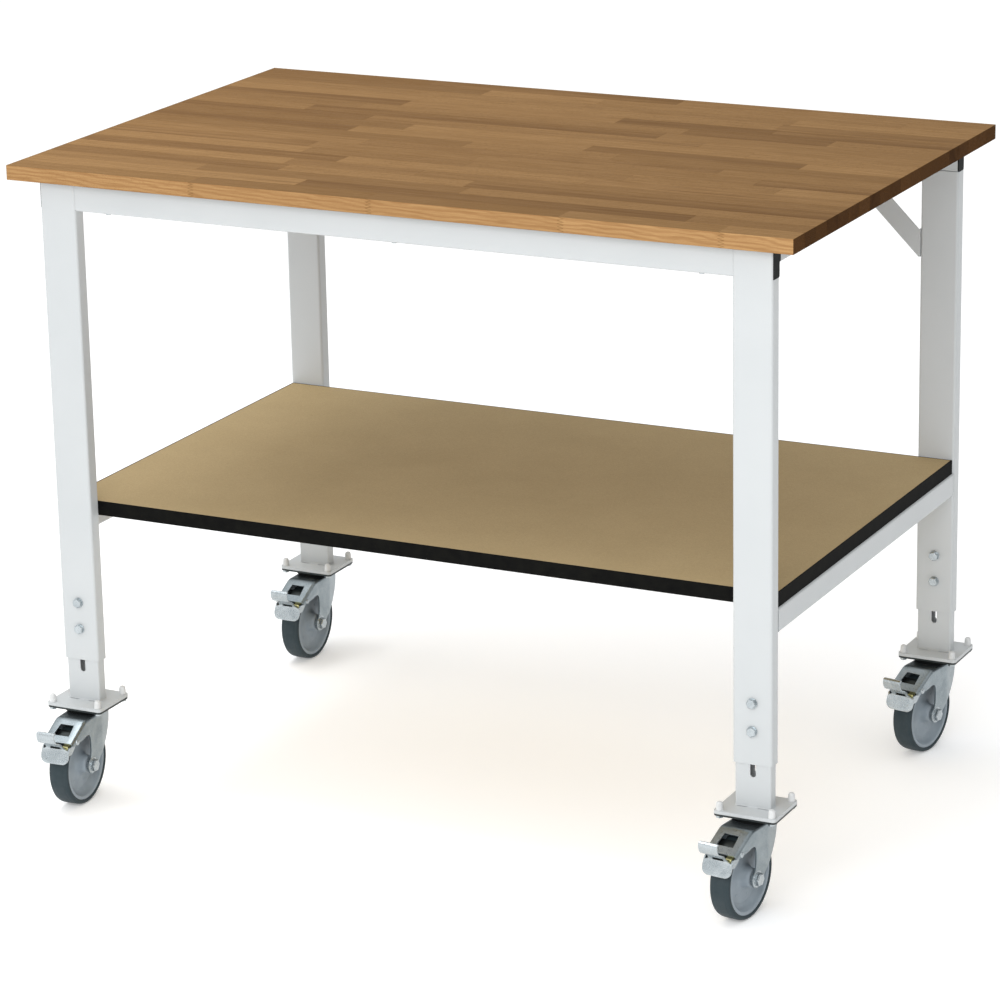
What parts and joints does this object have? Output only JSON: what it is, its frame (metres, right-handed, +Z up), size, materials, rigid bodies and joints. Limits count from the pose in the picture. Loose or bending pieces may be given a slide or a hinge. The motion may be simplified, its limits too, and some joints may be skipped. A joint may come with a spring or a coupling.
{
  "type": "mobile workbench",
  "caption": "Mobile workbench with a laminated wood top on a grey tube frame, a lower wooden shelf, height-adjustable legs and braked swivel casters.",
  "frame": {"origin": "on the floor under the middle of the overall outline", "axes": "+X along the long side to the right, +Y from the front to the back, +Z up"},
  "size_m": [1.25, 0.9044, 0.99],
  "materials": {
    "beech": "oiled laminated staves",
    "powder_coat": "light grey powder coat, satin",
    "mdf": "raw fibreboard",
    "edge_band": "matt black edging",
    "black_plastic": "moulded black",
    "zinc": "bright zinc plate",
    "white_plastic": "moulded white",
    "wheel_grey": "moulded grey nylon",
    "tyre": "dark grey non-marking tread"
  },
  "bodies": {
    "frame": {"worktop": "beech", "front_apron": "powder_coat", "back_apron": "powder_coat", "left_end_rail": "powder_coat", "right_end_rail": "powder_coat", "tube_end_caps": "black_plastic", "shelf_board": "mdf", "shelf_edge_band": "edge_band", "left_shelf_rail": "powder_coat", "right_shelf_rail": "powder_coat", "left_brace": "powder_coat", "right_brace": "powder_coat", "leg_bolts": "zinc", "brace_bolts": "zinc", "top_screws": "zinc", "outer_leg_fl": "powder_coat", "outer_leg_fr": "powder_coat", "outer_leg_bl": "powder_coat", "outer_leg_br": "powder_coat"},
    "foot_fl": {"inner_leg_fl": "powder_coat", "plate_bolts_fl": "zinc", "bolt_caps_fl": "white_plastic", "caster_plate_fl": "zinc"},
    "swivel_fl": {"swivel_seal_fl": "black_plastic", "fork_fl": "zinc", "axle_bolt_fl": "zinc"},
    "wheel_fl": {"wheel_core_fl": "wheel_grey", "tyre_fl": "tyre"},
    "pedal_fl": {"brake_pedal_fl": "zinc"},
    "foot_fr": {"inner_leg_fr": "powder_coat", "plate_bolts_fr": "zinc", "bolt_caps_fr": "white_plastic", "caster_plate_fr": "zinc"},
    "swivel_fr": {"swivel_seal_fr": "black_plastic", "fork_fr": "zinc", "axle_bolt_fr": "zinc"},
    "wheel_fr": {"wheel_core_fr": "wheel_grey", "tyre_fr": "tyre"},
    "pedal_fr": {"brake_pedal_fr": "zinc"},
    "foot_bl": {"inner_leg_bl": "powder_coat", "plate_bolts_bl": "zinc", "bolt_caps_bl": "white_plastic", "caster_plate_bl": "zinc"},
    "swivel_bl": {"swivel_seal_bl": "black_plastic", "fork_bl": "zinc", "axle_bolt_bl": "zinc"},
    "wheel_bl": {"wheel_core_bl": "wheel_grey", "tyre_bl": "tyre"},
    "pedal_bl": {"brake_pedal_bl": "zinc"},
    "foot_br": {"inner_leg_br": "powder_coat", "plate_bolts_br": "zinc", "bolt_caps_br": "white_plastic", "caster_plate_br": "zinc"},
    "swivel_br": {"swivel_seal_br": "black_plastic", "fork_br": "zinc", "axle_bolt_br": "zinc"},
    "wheel_br": {"wheel_core_br": "wheel_grey", "tyre_br": "tyre"},
    "pedal_br": {"brake_pedal_br": "zinc"}
  },
  "joints": [
    {"name": "leg_height_fl", "type": "slide", "parent": "frame", "child": "foot_fl", "axis": [0, 0, 1], "range_m": [-0.06, 0.05]},
    {"name": "caster_swivel_fl", "type": "hinge", "parent": "foot_fl", "child": "swivel_fl", "pos_m": [-0.555, -0.31634, 0.14], "axis": [0, 0, 1], "continuous": true},
    {"name": "wheel_spin_fl", "type": "hinge", "parent": "swivel_fl", "child": "wheel_fl", "pos_m": [-0.55285, -0.35728, 0.0625], "axis": [0.9986, 0.0523, 0], "continuous": true},
    {"name": "brake_pedal_fl", "type": "hinge", "parent": "swivel_fl", "child": "pedal_fl", "pos_m": [-0.5506, -0.40022, 0.114], "axis": [0.9986, 0.0523, 0], "range_deg": [0, 12]},
    {"name": "leg_height_fr", "type": "slide", "parent": "frame", "child": "foot_fr", "axis": [0, 0, 1], "range_m": [-0.06, 0.05]},
    {"name": "caster_swivel_fr", "type": "hinge", "parent": "foot_fr", "child": "swivel_fr", "pos_m": [0.555, -0.31634, 0.14], "axis": [0, 0, 1], "continuous": true},
    {"name": "wheel_spin_fr", "type": "hinge", "parent": "swivel_fr", "child": "wheel_fr", "pos_m": [0.55, -0.35703, 0.0625], "axis": [0.9925, -0.1219, 0], "continuous": true},
    {"name": "brake_pedal_fr", "type": "hinge", "parent": "swivel_fr", "child": "pedal_fr", "pos_m": [0.54476, -0.39971, 0.114], "axis": [0.9925, -0.1219, 0], "range_deg": [0, 12]},
    {"name": "leg_height_bl", "type": "slide", "parent": "frame", "child": "foot_bl", "axis": [0, 0, 1], "range_m": [-0.06, 0.05]},
    {"name": "caster_swivel_bl", "type": "hinge", "parent": "foot_bl", "child": "swivel_bl", "pos_m": [-0.555, 0.40966, 0.14], "axis": [0, 0, 1], "continuous": true},
    {"name": "wheel_spin_bl", "type": "hinge", "parent": "swivel_bl", "child": "wheel_bl", "pos_m": [-0.555, 0.36866, 0.0625], "axis": [1, 0, 0], "continuous": true},
    {"name": "brake_pedal_bl", "type": "hinge", "parent": "swivel_bl", "child": "pedal_bl", "pos_m": [-0.555, 0.32566, 0.114], "axis": [1, 0, 0], "range_deg": [0, 12]},
    {"name": "leg_height_br", "type": "slide", "parent": "frame", "child": "foot_br", "axis": [0, 0, 1], "range_m": [-0.06, 0.05]},
    {"name": "caster_swivel_br", "type": "hinge", "parent": "foot_br", "child": "swivel_br", "pos_m": [0.555, 0.40966, 0.14], "axis": [0, 0, 1], "continuous": true},
    {"name": "wheel_spin_br", "type": "hinge", "parent": "swivel_br", "child": "wheel_br", "pos_m": [0.54788, 0.36928, 0.0625], "axis": [0.9848, -0.1736, 0], "continuous": true},
    {"name": "brake_pedal_br", "type": "hinge", "parent": "swivel_br", "child": "pedal_br", "pos_m": [0.54041, 0.32694, 0.114], "axis": [0.9848, -0.1736, 0], "range_deg": [0, 12]}
  ]
}
